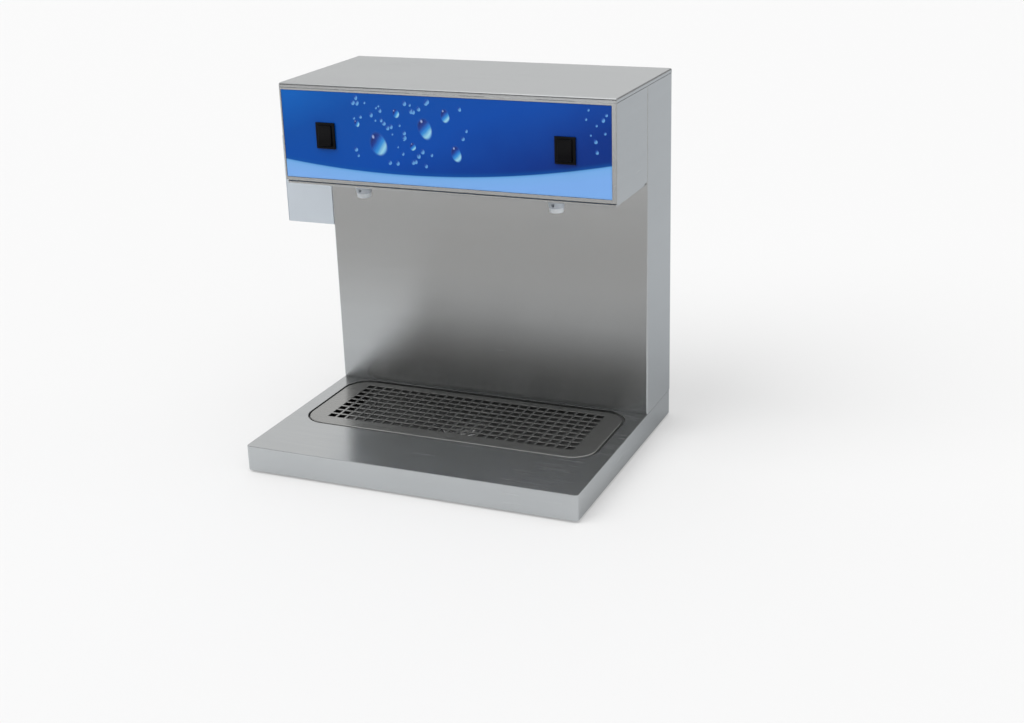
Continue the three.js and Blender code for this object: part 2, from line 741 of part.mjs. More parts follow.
add('side_box', sideBox(), greyPaint);
add('side_box_lid', sideBoxLid(), greyPaint);
lidScrews.forEach(([y, z], i) => {
  add(`side_box_screw_${i + 1}`, screw(8).rotate([0, 90, 0]), chrome, [lidInner - sheet, y, z]);
});
add('transformer', transformer(), greyPlastic, [boxRight - boxWall - gap - 24, 33, boxLow + 20]);
add('terminal_block', terminalBlock(), whitePlastic, [boxRight - boxWall - gap - 22, 18, boxLow + boxWall + gap]);
add('cable_gland', cableGland(), blackPlastic, glandPlace);
add('gland_nut', glandNut(), blackPlastic, glandPlace);
add('wire_loom_left', wireLoom(-1), blackPlastic);
add('wire_loom_right', wireLoom(1), blackPlastic);

// ---------------------------------------------------------------- place in the shared frame

const bounds = new THREE.Box3().setFromObject(dispenser);
const middle = bounds.getCenter(new THREE.Vector3());
dispenser.position.set(-middle.x, -middle.y, -bounds.min.z);

export default dispenser;
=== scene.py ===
"""Looks of the two-outlet countertop water dispenser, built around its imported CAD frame.

Every length is in metres in the frame's own axes: +Z up, -Y towards the user, +X to the right.
"""

import math
import random

import bmesh
import bpy
from mathutils import Matrix, Vector


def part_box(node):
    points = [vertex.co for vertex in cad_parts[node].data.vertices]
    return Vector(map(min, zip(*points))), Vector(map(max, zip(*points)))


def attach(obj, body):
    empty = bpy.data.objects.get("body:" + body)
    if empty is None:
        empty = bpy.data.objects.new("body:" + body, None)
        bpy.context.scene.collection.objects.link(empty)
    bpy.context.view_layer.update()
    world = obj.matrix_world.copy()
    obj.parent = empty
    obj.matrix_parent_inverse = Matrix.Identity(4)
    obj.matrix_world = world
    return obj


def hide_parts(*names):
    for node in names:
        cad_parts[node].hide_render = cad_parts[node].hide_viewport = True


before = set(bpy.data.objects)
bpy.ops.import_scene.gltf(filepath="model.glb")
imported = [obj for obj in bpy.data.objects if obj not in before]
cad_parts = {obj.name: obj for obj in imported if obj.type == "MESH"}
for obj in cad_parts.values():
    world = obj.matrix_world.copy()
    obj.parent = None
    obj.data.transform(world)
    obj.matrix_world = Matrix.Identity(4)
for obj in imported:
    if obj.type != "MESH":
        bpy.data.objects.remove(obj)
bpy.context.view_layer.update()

MM = 0.001
UP = Vector((0, 0, 1))
SIDES = ("left", "right")


def srgb(red, green, blue):
    """A display colour from 0 to 255 as the linear colour that a shader takes."""
    def linear(value):
        value /= 255
        return value / 12.92 if value <= 0.04045 else ((value + 0.055) / 1.055) ** 2.4
    return (linear(red), linear(green), linear(blue), 1.0)


def grey(tone):
    return (tone, tone, tone, 1.0)


def scaled(colour, factor):
    """The same colour, darker or lighter."""
    return tuple(factor * c for c in colour[:3]) + (1.0,)


# ---------------------------------------------------------------- places read from the frame

base_low, base_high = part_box("base_shell")
column_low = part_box("column_shell")[0]
head_low, head_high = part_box("head_shell")
cover_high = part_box("top_cover")[1]
tray_low, tray_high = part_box("head_bottom_plate")
panel_low, panel_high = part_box("front_panel")
grille_low, grille_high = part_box("drip_grille")
middle_x = (base_low.x + base_high.x) / 2
drain_y = (grille_low.y + grille_high.y) / 2


# ---------------------------------------------------------------- shader building

class NodeTree:
    """Short calls for the nodes of a material or of the surroundings."""

    def __init__(self, tree):
        self.nodes = tree.nodes
        self.links = tree.links

    def node(self, kind, inputs=(), **settings):
        made = self.nodes.new("ShaderNode" + kind)
        for name, value in settings.items():
            setattr(made, name, value)
        for key, value in dict(inputs).items():
            self.feed(made.inputs[key], value)
        return made

    def feed(self, socket, value):
        if isinstance(value, bpy.types.NodeSocket):
            self.links.new(value, socket)
        else:
            socket.default_value = value

    def math(self, operation, *values):
        return self.node("Math", enumerate(values), operation=operation).outputs[0]

    def distance(self, u, v):
        """How far the point (u, v) lies from (0, 0)."""
        squares = self.math("ADD", self.math("MULTIPLY", u, u), self.math("MULTIPLY", v, v))
        return self.math("SQRT", squares)

    def vector(self, operation, *values):
        return self.node("VectorMath", enumerate(values), operation=operation).outputs[0]

    def parts(self, vector):
        made = self.node("SeparateXYZ", {0: vector})
        return made.outputs[0], made.outputs[1], made.outputs[2]

    def whole(self, x, y, z):
        return self.node("CombineXYZ", {0: x, 1: y, 2: z}).outputs[0]

    def noise(self, vector, scale, detail, roughness):
        inputs = {"Vector": vector, "Scale": scale, "Detail": detail, "Roughness": roughness}
        return self.node("TexNoise", inputs).outputs[0]

    def spread(self, value, low, high, start=0.0, end=1.0):
        """Value from start..end spread to low..high, smooth and held at both ends."""
        inputs = {0: value, 1: start, 2: end, 3: low, 4: high}
        return self.node("MapRange", inputs, interpolation_type="SMOOTHSTEP").outputs[0]

    def ramp(self, value, stops):
        made = self.node("ValToRGB", {0: value})
        elements = made.color_ramp.elements
        while len(elements) < len(stops):
            elements.new(0.5)
        for element, (position, colour) in zip(elements, stops):
            element.position = position
            element.color = colour
        return made.outputs[0]

    def mix(self, factor, first, second, blend="MIX"):
        inputs = {0: factor, 6: first, 7: second}
        return self.node("Mix", inputs, data_type="RGBA", blend_type=blend).outputs[2]


class Shader(NodeTree):
    """A material with its principled shader."""

    def __init__(self, name, **settings):
        self.material = bpy.data.materials.new(name)
        self.material.use_nodes = True
        super().__init__(self.material.node_tree)
        self.surface = self.nodes["Principled BSDF"]
        for socket, value in settings.items():
            self.surface.inputs[socket.replace("_", " ")].default_value = value

    def place(self):
        return self.node("TexCoord").outputs["Object"]

    def surface_in(self, name, value):
        self.feed(self.surface.inputs[name], value)

    def bump(self, height, strength, distance):
        inputs = {"Height": height, "Strength": strength, "Distance": distance}
        self.surface_in("Normal", self.node("Bump", inputs).outputs[0])


# ---------------------------------------------------------------- materials

# The default tint is the metal's own grey with a slight blue added: a painted reflection of cool
# surroundings.
def brushed_steel(name, tint=(0.595, 0.61, 0.615), rough=0.24):
    """Brushed stainless sheet: grain along the width, or along the depth on the side faces."""
    shader = Shader(name, Metallic=1.0, Anisotropic=0.9)
    coords = shader.node("TexCoord")
    x, y, z = shader.parts(coords.outputs["Object"])
    facing = shader.parts(coords.outputs["Normal"])[0]
    side = shader.math("GREATER_THAN", shader.math("ABSOLUTE", facing), 0.7)
    rest = shader.math("SUBTRACT", 1.0, side)
    along = shader.math("ADD", shader.math("MULTIPLY", x, rest), shader.math("MULTIPLY", y, side))
    across = shader.math("ADD", shader.math("MULTIPLY", y, rest), shader.math("MULTIPLY", x, side))

    def streaks(length, width):
        place = shader.whole(
            shader.math("MULTIPLY", along, 1 / length), shader.math("MULTIPLY", across, 1 / width),
            shader.math("MULTIPLY", z, 1 / width))
        return shader.noise(place, 1.0, 3.0, 0.6)

    fine = streaks(0.09, 0.0007)
    broad = streaks(0.5, 0.012)
    cloud = shader.noise(coords.outputs["Object"], 7.0, 3.0, 0.5)
    dark, light = scaled(tint, 0.955), scaled(tint, 1.03)
    grained = shader.mix(shader.spread(fine, 0.0, 1.0, 0.3, 0.7), dark, light)
    shader.surface_in("Base Color", shader.mix(
        shader.spread(broad, 0.0, 0.35, 0.35, 0.7), grained, dark))
    streak = shader.math("ADD", shader.spread(broad, -0.012, 0.012), shader.spread(fine, -0.03, 0.03))
    smudge = shader.spread(cloud, -0.01, 0.02, 0.35, 0.7)
    shader.surface_in("Roughness", shader.math("ADD", rough, shader.math("ADD", streak, smudge)))
    grain = shader.whole(rest, side, 0.0)
    shader.surface_in("Tangent", shader.vector("CROSS_PRODUCT", coords.outputs["Normal"], grain))
    shader.bump(fine, 0.05, 0.00002)
    return shader.material


def plated(name, colour, rough):
    """Turned or plated metal with faint smudges."""
    shader = Shader(name, Metallic=1.0)
    spots = shader.noise(shader.place(), 180.0, 4.0, 0.6)
    shader.surface_in("Base Color", shader.mix(
        shader.spread(spots, 0.0, 0.6, 0.35, 0.75), colour, scaled(colour, 0.8)))
    shader.surface_in("Roughness", shader.spread(spots, rough * 0.8, rough * 1.7, 0.3, 0.8))
    shader.bump(spots, 0.05, 0.0001)
    return shader.material


def moulded(name, colour, rough, grain=700.0, depth=0.12, gloss=0.5):
    """Moulded plastic or rubber: fine pitted skin and a slight drift of colour."""
    shader = Shader(name, Specular_IOR_Level=gloss)
    skin = shader.noise(shader.place(), grain, 3.0, 0.55)
    drift = shader.noise(shader.place(), 22.0, 3.0, 0.5)
    darker = scaled(colour, 0.86)
    lighter = tuple(min(1.0, 1.10 * c + 0.004) for c in colour[:3]) + (1.0,)
    shader.surface_in("Base Color", shader.mix(
        shader.spread(drift, 0.0, 1.0, 0.3, 0.7), darker, lighter))
    shader.surface_in("Roughness", shader.spread(skin, rough * 0.85, rough * 1.2, 0.3, 0.7))
    shader.bump(skin, depth, 0.0002)
    return shader.material


def two_tone_nylon(name, border, upper, lower):
    """Moulded nylon whose tip, below the border height, is a paler insert than its collar."""
    shader = Shader(name, Roughness=0.36)
    drift = shader.noise(shader.place(), 60.0, 3.0, 0.5)
    height = shader.parts(shader.place())[2]
    tone = shader.mix(shader.math("LESS_THAN", height, border), upper, lower)
    shade = shader.mix(shader.spread(drift, 0.0, 1.0, 0.3, 0.7), grey(1.0), scaled(lower, 0.9))
    shader.surface_in("Base Color", shader.mix(1.0, tone, shade, "MULTIPLY"))
    shader.surface_in("Roughness", shader.spread(drift, 0.3, 0.42))
    shader.bump(shader.noise(shader.place(), 900.0, 3.0, 0.55), 0.05, 0.0002)
    return shader.material


def powder_coat(name, colour):
    """Light powder coat with a faint orange peel."""
    shader = Shader(name, Coat_Weight=0.25, Coat_Roughness=0.25)
    peel = shader.noise(shader.place(), 420.0, 2.0, 0.5)
    drift = shader.noise(shader.place(), 9.0, 3.0, 0.5)
    shader.surface_in("Base Color", shader.mix(
        shader.spread(drift, 0.0, 1.0, 0.3, 0.7), colour, scaled(colour, 0.93)))
    shader.surface_in("Roughness", shader.spread(peel, 0.38, 0.5, 0.3, 0.7))
    shader.bump(peel, 0.15, 0.0002)
    return shader.material


def milky_hose(name):
    """Cloudy hose that lets some light through."""
    shader = Shader(name, Transmission_Weight=0.35, IOR=1.42)
    drift = shader.noise(shader.place(), 60.0, 3.0, 0.5)
    shader.surface_in("Base Color", shader.mix(drift, srgb(206, 214, 216), srgb(226, 232, 234)))
    shader.surface_in("Roughness", shader.spread(drift, 0.25, 0.4))
    return shader.material


FADE_ACROSS = 0.62  # share of the background's fade that runs from left to right
FADE_DOWN = 0.38  # share that runs from top to bottom
MOTTLE = 0.16  # how far the clouding shifts the fade
WAVE_LOW = 341.6 * MM  # height of the wave at the middle of the body
WAVE_SLOPE = 0.0409
WAVE_BEND = 0.4094  # per metre
WAVE_BAND = 14 * MM  # how far down the wave's pale colours change
WAVE_SHADE = 6 * MM  # how far up the darker tone above the wave reaches


def print_colours(shader):
    """The printed background: deep blue with a lighter upper left, over a pale rising wave."""
    x, _, z = shader.parts(shader.vector("SUBTRACT", shader.place(), (middle_x, 0, 0)))
    width = panel_high.x - panel_low.x
    height = panel_high.z - panel_low.z
    across = shader.math("MULTIPLY_ADD", x, FADE_ACROSS / width, FADE_ACROSS / 2)
    down = shader.math("MULTIPLY", shader.math("SUBTRACT", panel_high.z, z), FADE_DOWN / height)
    mottle = shader.math("MULTIPLY", shader.noise(shader.place(), 14.0, 3.0, 0.5), MOTTLE)
    fade = shader.math("ADD", shader.math("ADD", across, down), mottle)
    fade = shader.math("SUBTRACT", fade, MOTTLE / 2)
    blue = shader.ramp(fade, [
        (0.0, srgb(2, 94, 182)), (0.22, srgb(1, 74, 160)), (0.5, srgb(0, 71, 164)),
        (0.75, srgb(0, 47, 130)), (1.0, srgb(0, 41, 118)),
    ])
    bend = shader.math("MULTIPLY", shader.math("MULTIPLY", x, x), WAVE_BEND)
    crest = shader.math("ADD", shader.math("MULTIPLY_ADD", x, WAVE_SLOPE, WAVE_LOW), bend)
    above = shader.math("SUBTRACT", z, crest)
    shade = shader.spread(above, 0.55, 0.0, 0.0, WAVE_SHADE)
    sky = shader.mix(shade, blue, srgb(4, 84, 160))
    pale = shader.ramp(shader.math("MULTIPLY", above, -1 / WAVE_BAND), [
        (0.0, srgb(92, 158, 220)), (0.25, srgb(118, 170, 228)), (1.0, srgb(122, 170, 232)),
    ])
    return shader.mix(shader.spread(above, 1.0, 0.0, -0.7 * MM, 0.7 * MM), sky, pale)


def printed_panel(name):
    """The printed film on the panel, under a thin gloss."""
    shader = Shader(name, Coat_Weight=0.05, Coat_Roughness=0.12, Specular_IOR_Level=0.16)
    film = shader.noise(shader.place(), 14.0, 1.0, 0.5)
    shader.surface_in("Base Color", print_colours(shader))
    shader.surface_in("Roughness", shader.spread(film, 0.28, 0.33, 0.3, 0.7))
    shader.bump(film, 0.006, 0.0002)
    return shader.material


def printed_drop(name):
    """A drop with a dark upper left, a clear body and light gathered at the lower right.

    The attribute "drop" gives u and v across the drop, and 1 for a large drop or 0 for a speck.
    """
    shader = Shader(name, Coat_Weight=0.1, Coat_Roughness=0.1, Specular_IOR_Level=0.25)
    u, v, large = shader.parts(shader.node("Attribute", attribute_name="drop").outputs["Vector"])
    down = shader.math("SUBTRACT", shader.math("MULTIPLY", u, 0.35), shader.math("MULTIPLY", v, 0.94))
    body = shader.ramp(shader.math("MULTIPLY_ADD", down, 0.5, 0.5), [
        (0.0, srgb(12, 62, 156)), (0.12, srgb(10, 34, 104)), (0.32, srgb(14, 52, 138)),
        (0.47, srgb(20, 100, 192)), (0.62, srgb(50, 142, 210)), (0.8, srgb(150, 204, 226)),
        (0.93, srgb(104, 172, 224)), (1.0, srgb(26, 104, 192)),
    ])
    glint = shader.distance(shader.math("ADD", u, 0.12), shader.math("SUBTRACT", v, 0.72))
    lit = shader.mix(shader.spread(glint, 0.75, 0.0, 0.06, 0.2), body, srgb(170, 190, 236))
    speck = shader.mix(
        shader.spread(down, 0.0, 0.85, -0.6, 0.45), srgb(16, 70, 160), srgb(104, 170, 226))
    look = shader.mix(shader.math("GREATER_THAN", large, 0.5), speck, lit)
    radius = shader.distance(u, v)
    shader.surface_in("Base Color", shader.mix(
        shader.spread(radius, 1.0, 0.0, 0.72, 1.0), print_colours(shader), look))
    shader.surface_in("Roughness", shader.spread(radius, 0.2, 0.34, 0.5, 1.0))
    return shader.material


steel = brushed_steel("brushed_stainless")
# The grille is the same stainless as the body; its darker tint is painted shade, for how dark it looks in
# its recess before the column.
grille_steel_painted_shade = brushed_steel("grille_stainless_painted_shade", tint=(0.43, 0.43, 0.42), rough=0.28)
# The basin is the same stainless too; its much darker tint is painted shade, for the shadow under the
# grille.
basin_steel_painted_shade = brushed_steel("basin_stainless_painted_shade", tint=(0.28, 0.28, 0.28), rough=0.3)
chrome = plated("bright_chrome", (0.93, 0.93, 0.93, 1.0), 0.16)
zinc = plated("zinc_screws", (0.60, 0.61, 0.63, 1.0), 0.2)
brass = plated("machined_brass", (0.70, 0.52, 0.24, 1.0), 0.22)
rubber = moulded("black_rubber", srgb(26, 26, 26), 0.8, 500.0, 0.2)
white_plastic = moulded("white_nylon", srgb(214, 220, 226), 0.36, 900.0, 0.05)
nozzle_insert_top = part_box("outlet_nozzle_left")[0].z + 5.2 * MM
nozzle_plastic = two_tone_nylon(
    "nozzle_nylon", nozzle_insert_top, srgb(206, 212, 220), srgb(246, 250, 253))
black_gloss = moulded("black_switch_plastic", srgb(4, 4, 6), 0.34, 1600.0, 0.06, gloss=0.12)
black_matte = moulded("black_nylon", srgb(24, 24, 25), 0.55, 1200.0, 0.12)
hose_material = milky_hose("milky_hose")
coil_material = moulded("red_coil_resin", srgb(138, 34, 26), 0.45, 900.0, 0.1)
core_material = moulded("varnished_core", srgb(96, 98, 100), 0.5, 400.0, 0.2)
box_paint = powder_coat("grey_powder_coat", srgb(199, 207, 215))
panel_print = printed_panel("printed_panel_ink")
drop_print = printed_drop("printed_drop_ink")


# ---------------------------------------------------------------- mesh building

WELD = 0.01 * MM  # points closer than this are one


def new_piece(name, builder, material, body="housing", smooth=40.0):
    """Turns a finished bmesh into a named object with one material that rides on a body."""
    bmesh.ops.recalc_face_normals(builder, faces=builder.faces)
    mesh = bpy.data.meshes.new(name)
    builder.to_mesh(mesh)
    builder.free()
    mesh.materials.append(material)
    piece = bpy.data.objects.new(name, mesh)
    bpy.context.scene.collection.objects.link(piece)
    smooth_shade(piece, smooth)
    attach(piece, body)
    return piece


def smooth_shade(piece, angle=40.0):
    """Smooth shading with sharp edges kept, and flats kept flat beside rounded edges."""
    mesh = piece.data
    mesh.polygons.foreach_set("use_smooth", [True] * len(mesh.polygons))
    mesh.set_sharp_from_angle(angle=math.radians(angle))
    shading = piece.modifiers.new("flats", "WEIGHTED_NORMAL")
    shading.keep_sharp = True
    shading.weight = 80


def ease_edges(piece, width, angle):
    """Rounds every edge that is sharper than an angle a little."""
    rounding = piece.modifiers.new("rounding", "BEVEL")
    rounding.width = width
    rounding.segments = 2
    rounding.limit_method = "ANGLE"
    rounding.angle_limit = math.radians(angle)
    piece.modifiers.new("flats", "WEIGHTED_NORMAL").keep_sharp = True


def bevel(builder, edges, radius, segments):
    if edges:
        bmesh.ops.bevel(
            builder, geom=edges, offset=radius, offset_type="OFFSET", segments=segments,
            profile=0.5, affect="EDGES", clamp_overlap=True,
        )


def sharp_edges(builder, least=35.0):
    return [e for e in builder.edges
            if len(e.link_faces) == 2 and math.degrees(e.calc_face_angle(0.0)) > least]


def joined_copy(node, flat):
    """A node's mesh as one joined skin; faces that meet at less than flat degrees become one."""
    builder = bmesh.new()
    builder.from_mesh(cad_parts[node].data)
    bmesh.ops.remove_doubles(builder, verts=builder.verts, dist=WELD)
    bmesh.ops.dissolve_limit(
        builder, angle_limit=math.radians(flat), verts=builder.verts, edges=builder.edges,
    )
    return builder


def folded_sheet(node, material, folds, edge=0.25 * MM):
    """A sheet-metal node with real bend radii on its folds and eased cut edges.

    folds is a list of (test, radius); the test picks the edges of a fold by their two ends.
    """
    builder = joined_copy(node, 1.0)
    for test, radius in folds:
        chosen = [e for e in sharp_edges(builder) if all(test(v.co) for v in e.verts)]
        bevel(builder, chosen, radius, 4)
    piece = new_piece(node + "_sheet", builder, material)
    piece.modifiers.clear()
    ease_edges(piece, edge, 40.0)
    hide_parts(node)


def near(value, target, reach=0.05 * MM):
    return abs(value - target) < reach


def on_outline(point, low, high, reach):
    """True beside one of the four upright sides of a box."""
    return (min(point.x - low.x, high.x - point.x) < reach
            or min(point.y - low.y, high.y - point.y) < reach)


def span(node, axis):
    """Where a node starts and ends along an axis, in millimetres."""
    return tuple(getattr(corner, axis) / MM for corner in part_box(node))


def middle_line(node, axis):
    """The centre of a node, moved along the axis to zero."""
    low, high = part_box(node)
    centre = (low + high) / 2
    setattr(centre, axis, 0)
    return centre


def join_rings(builder, first, second):
    """Faces between two rings of points, where one of the two may be a single point."""
    steps = max(len(first), len(second))
    for i in range(steps):
        j = (i + 1) % steps
        corners = [first[i % len(first)], first[j % len(first)],
                   second[j % len(second)], second[i % len(second)]]
        corners = list(dict.fromkeys(corners))
        if len(corners) > 2:
            builder.faces.new(corners)


TURNS = {  # from upright to the axis along which a turned body points
    "z": Matrix.Identity(4), "x": Matrix.Rotation(math.pi / 2, 4, "Y"),
    "y": Matrix.Rotation(-math.pi / 2, 4, "X"), "-y": Matrix.Rotation(math.pi / 2, 4, "X"),
}


def turned(name, profile, centre, material, axis="z", body="housing", steps=64):
    """A closed body of revolution; the profile is a list of (radius, height) in millimetres."""
    builder = bmesh.new()
    rings = []
    for radius, height in profile:
        angles = [2 * math.pi * i / steps for i in range(steps if radius else 1)]
        rings.append([
            builder.verts.new((radius * MM * math.cos(a), radius * MM * math.sin(a), height * MM))
            for a in angles
        ])
    for lower, upper in zip(rings, rings[1:] + rings[:1]):
        join_rings(builder, lower, upper)
    place = Matrix.Translation(centre) @ TURNS[axis]
    bmesh.ops.transform(builder, matrix=place, verts=builder.verts)
    return new_piece(name, builder, material, body, 35.0)


def rounded_box(name, low, high, radius, material, segments=4, turn=None):
    """A block with rounded edges; turn is a matrix for a tilted block."""
    builder = bmesh.new()
    bmesh.ops.create_cube(builder, size=1.0)
    size = Vector(high) - Vector(low)
    middle = (Vector(high) + Vector(low)) / 2
    bmesh.ops.scale(builder, vec=size, verts=builder.verts)
    bevel(builder, list(builder.edges), radius, segments)
    bmesh.ops.transform(builder, matrix=(turn or Matrix.Translation(middle)), verts=builder.verts)
    return new_piece(name, builder, material)


def carve(piece, tool, operation="DIFFERENCE"):
    """Cuts the tool out of a finished piece, or with "UNION" joins it on; the tool is used up."""
    modifier = piece.modifiers.new("carve", "BOOLEAN")
    modifier.operation = operation
    modifier.solver = "EXACT"
    modifier.object = tool
    bpy.context.view_layer.update()
    shaped = piece.evaluated_get(bpy.context.evaluated_depsgraph_get())
    old = piece.data
    piece.data = bpy.data.meshes.new_from_object(shaped)
    piece.modifiers.clear()
    bpy.data.meshes.remove(old)
    bpy.data.objects.remove(tool)
    smooth_shade(piece)


# ---------------------------------------------------------------- sheet-metal body

BASE_FOLD = 1.6 * MM  # bend radius round the top of the base
BASE_REACH = 4.2 * MM  # edges this near to the sides of the base belong to that fold
MOUTH_FOLD = 0.9 * MM  # round the opening for the basin
MOUTH_MARGIN = 6 * MM  # the opening lies further in from the sides than this
MOUTH_BACK = 14 * MM  # its edge stays sharp this close to the column
COVER_FOLD = 2.4 * MM
HEAD_FOLD = 0.9 * MM
TRAY_FOLD = 1.0 * MM
HEM_FOLD = 0.9 * MM
HEM_HEIGHT = 3.5 * MM  # the hem along the front of the plate under the head
TRAY_REACH = 0.3 * MM


def build_housing():
    def base_outline(p):
        return near(p.z, base_high.z) and on_outline(p, base_low, base_high, BASE_REACH)

    def basin_mouth(p):
        return (near(p.z, base_high.z) and not on_outline(p, base_low, base_high, MOUTH_MARGIN)
                and p.y < column_low.y - MOUTH_BACK)

    def cover_outline(p):
        return near(p.z, cover_high.z)

    def head_rear_edge(p):
        half = (head_high.x - head_low.x) / 2
        return near(abs(p.x - middle_x), half) and near(p.y, head_high.y)

    def tray_outline(p):
        return near(p.z, tray_low.z) and on_outline(p, tray_low, tray_high, TRAY_REACH)

    def tray_hem(p):
        return p.z < tray_low.z + HEM_HEIGHT and near(p.y, tray_low.y, TRAY_REACH)

    base_folds = [(base_outline, BASE_FOLD), (basin_mouth, MOUTH_FOLD)]
    folded_sheet("base_shell", steel, base_folds, edge=0.1 * MM)
    folded_sheet("top_cover", steel, [(cover_outline, COVER_FOLD)])
    folded_sheet("head_shell", steel, [(head_rear_edge, HEAD_FOLD)])
    folded_sheet("column_shell", steel, [])
    folded_sheet("head_bottom_plate", steel, [(tray_outline, TRAY_FOLD), (tray_hem, HEM_FOLD)])
    folded_sheet("rear_cover", steel, [])
    folded_sheet("drip_basin", basin_steel_painted_shade, [])
    folded_sheet("base_bottom_plate", steel, [])


# ---------------------------------------------------------------- grille

HOLE_PITCH = 12.6 * MM
HOLE_SIZE = 9.6 * MM
HOLE_COLUMNS = 26
HOLE_ROWS = 9
FIRST_ROW = 25.3 * MM  # from the front edge to the centre line of the front row
GRILLE_CORNER = 29.5 * MM
GRILLE_THICK = 1.6 * MM
GRILLE_EDGE = 1.3 * MM  # rounding of the outer edge
HOLE_EDGE = 0.35 * MM  # rounding of the holes


def grille_outline(builder, inset, z):
    """The four round corners of the plate's outline, drawn in by an inset, from the front left."""
    radius = GRILLE_CORNER - inset
    left, right = grille_low.x + GRILLE_CORNER, grille_high.x - GRILLE_CORNER
    front, back = grille_low.y + GRILLE_CORNER, grille_high.y - GRILLE_CORNER
    centres = [(left, front, math.pi), (right, front, -math.pi / 2),
               (right, back, 0.0), (left, back, math.pi / 2)]
    return [
        [builder.verts.new((x + radius * math.cos(start + i * math.pi / 24),
                            y + radius * math.sin(start + i * math.pi / 24), z))
         for i in range(13)]
        for x, y, start in centres
    ]


def hole_sides(centres):
    """Both sides of every hole, in order."""
    return [centre + half for centre in centres for half in (-HOLE_SIZE / 2, HOLE_SIZE / 2)]


def punched_face(builder, xs, ys, z):
    """The flat top of the plate: bars between square holes inside a plain border."""
    grid = [[builder.verts.new((x, y, z)) for x in xs] for y in ys]
    for j in range(len(ys) - 1):
        for i in range(len(xs) - 1):
            if i % 2 or j % 2:  # both even is a hole
                builder.faces.new((grid[j][i], grid[j][i + 1], grid[j + 1][i + 1], grid[j + 1][i]))
    corners = grille_outline(builder, 0.0, z)
    bars = [grid[0][::-1], [row[-1] for row in grid[::-1]], grid[-1], [row[0] for row in grid]]
    for i, bar in enumerate(bars):
        corner, following = corners[i], corners[(i + 1) % 4]
        builder.faces.new([corner[-1], following[0]] + bar)
        builder.faces.new(following + [bar[0]])


def outside_holes(point, xs, ys):
    """True on the outline of the plate, false on the holes."""
    return (point.x < xs[0] - MM or point.x > xs[-1] + MM
            or point.y < ys[0] - MM or point.y > ys[-1] + MM)


def build_grille():
    """Punched plate with square holes and round corners, on its turned-down rim."""
    builder = bmesh.new()
    xs = hole_sides(middle_x + (column - (HOLE_COLUMNS - 1) / 2) * HOLE_PITCH
                    for column in range(HOLE_COLUMNS))
    ys = hole_sides(grille_low.y + FIRST_ROW + row * HOLE_PITCH for row in range(HOLE_ROWS))
    top = grille_high.z
    punched_face(builder, xs, ys, top)
    bmesh.ops.recalc_face_normals(builder, faces=builder.faces)
    if sum(f.normal.z for f in builder.faces) < 0:
        bmesh.ops.reverse_faces(builder, faces=builder.faces)
    sheet = bmesh.ops.extrude_face_region(builder, geom=list(builder.faces))
    lower = [v for v in sheet["geom"] if isinstance(v, bmesh.types.BMVert)]
    bmesh.ops.translate(builder, vec=(0, 0, -GRILLE_THICK), verts=lower)
    for outer, radius, segments in ((True, GRILLE_EDGE, 4), (False, HOLE_EDGE, 2)):
        rims = [e for e in sharp_edges(builder, 60.0)
                if all(near(v.co.z, top) and outside_holes(v.co, xs, ys) == outer for v in e.verts)]
        bevel(builder, rims, radius, segments)
    piece = new_piece("drip_grille_plate", builder, grille_steel_painted_shade, "grille")
    carve(piece, grille_rim(), "UNION")
    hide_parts("drip_grille")


def grille_rim():
    """The turned-down rim under the plate, standing on the step of the basin."""
    builder = bmesh.new()
    low, high = grille_low.z, grille_high.z - GRILLE_THICK * 0.9
    outer, inner = 0.01 * MM, GRILLE_THICK
    rings = []
    for inset, z in ((outer, low), (outer, high), (inner, high), (inner, low)):
        rings.append([v for corner in grille_outline(builder, inset, z) for v in corner])
    for ring, following in zip(rings, rings[1:] + rings[:1]):
        join_rings(builder, ring, following)
    return new_piece("rim", builder, grille_steel_painted_shade, "grille")


# ---------------------------------------------------------------- drain

STRAINER_SLOTS = [  # ring radius, number, turn as a share of their spacing, width, length, in mm
    (9.2, 10, 0.0, 2.2, 6.4), (3.2, 4, 0.5, 1.8, 2.4),
]


def build_drain():
    """Flanged drain cup, and the perforated dome that lifts out of it."""
    centre = Vector((middle_x, drain_y, 0))
    low, rim = span("drain_body", "z")
    cup = turned("drain_cup", [
        (0, low), (19, low), (19.6, low + 0.6), (19.6, rim - 1.3), (26.6, rim - 1.3), (27, rim - 1),
        (26.6, rim - 0.5), (25.4, rim), (18.2, rim), (17.4, rim - 0.5), (17.2, rim - 1.2),
        (17.2, low + 1.4), (0, low + 1.4),
    ], centre, chrome)
    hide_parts("drain_body")

    seat, top = span("drain_strainer", "z")
    dome = turned("drain_strainer_dome", [
        (15.6, seat), (16.6, seat), (16.6, top - 2.8), (20, top - 2.8), (20.5, top - 2.3),
        (20, top - 1.6), (13.4, top - 0.5), (4, top), (0, top), (0, top - 1.1), (4, top - 1.1),
        (12.8, top - 1.6), (15.6, top - 2.7),
    ], centre, chrome, body="strainer")
    for ring, count, share, width, length in STRAINER_SLOTS:
        half = Vector((length, width, 12)) / 2 * MM
        for i in range(count):
            angle = 2 * math.pi * (i + share) / count
            spot = centre + Vector((math.cos(angle), math.sin(angle), 0)) * ring * MM
            turn = Matrix.Translation(spot + UP * top * MM) @ Matrix.Rotation(angle, 4, "Z")
            carve(dome, rounded_box("slot", -half, half, 0.85 * MM, chrome, turn=turn))
    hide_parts("drain_strainer")


# ---------------------------------------------------------------- switches

BEZEL_THICK = 2 * MM
WINDOW_HALF = Vector((9.1, 6, 12.8)) * MM  # opening in the bezel around the rocker
WELL_X, WELL_Z = 10.6 * MM, 14.5 * MM  # half width and half height of the body behind the bezel
WELL_START, WELL_END = 1.2 * MM, 24 * MM  # its depths behind the bezel's face
ROOM_HALF = Vector((9.05, 0, 12.75)) * MM  # hollow of the body, open to the front
ROOM_START, ROOM_END = -2 * MM, 12 * MM


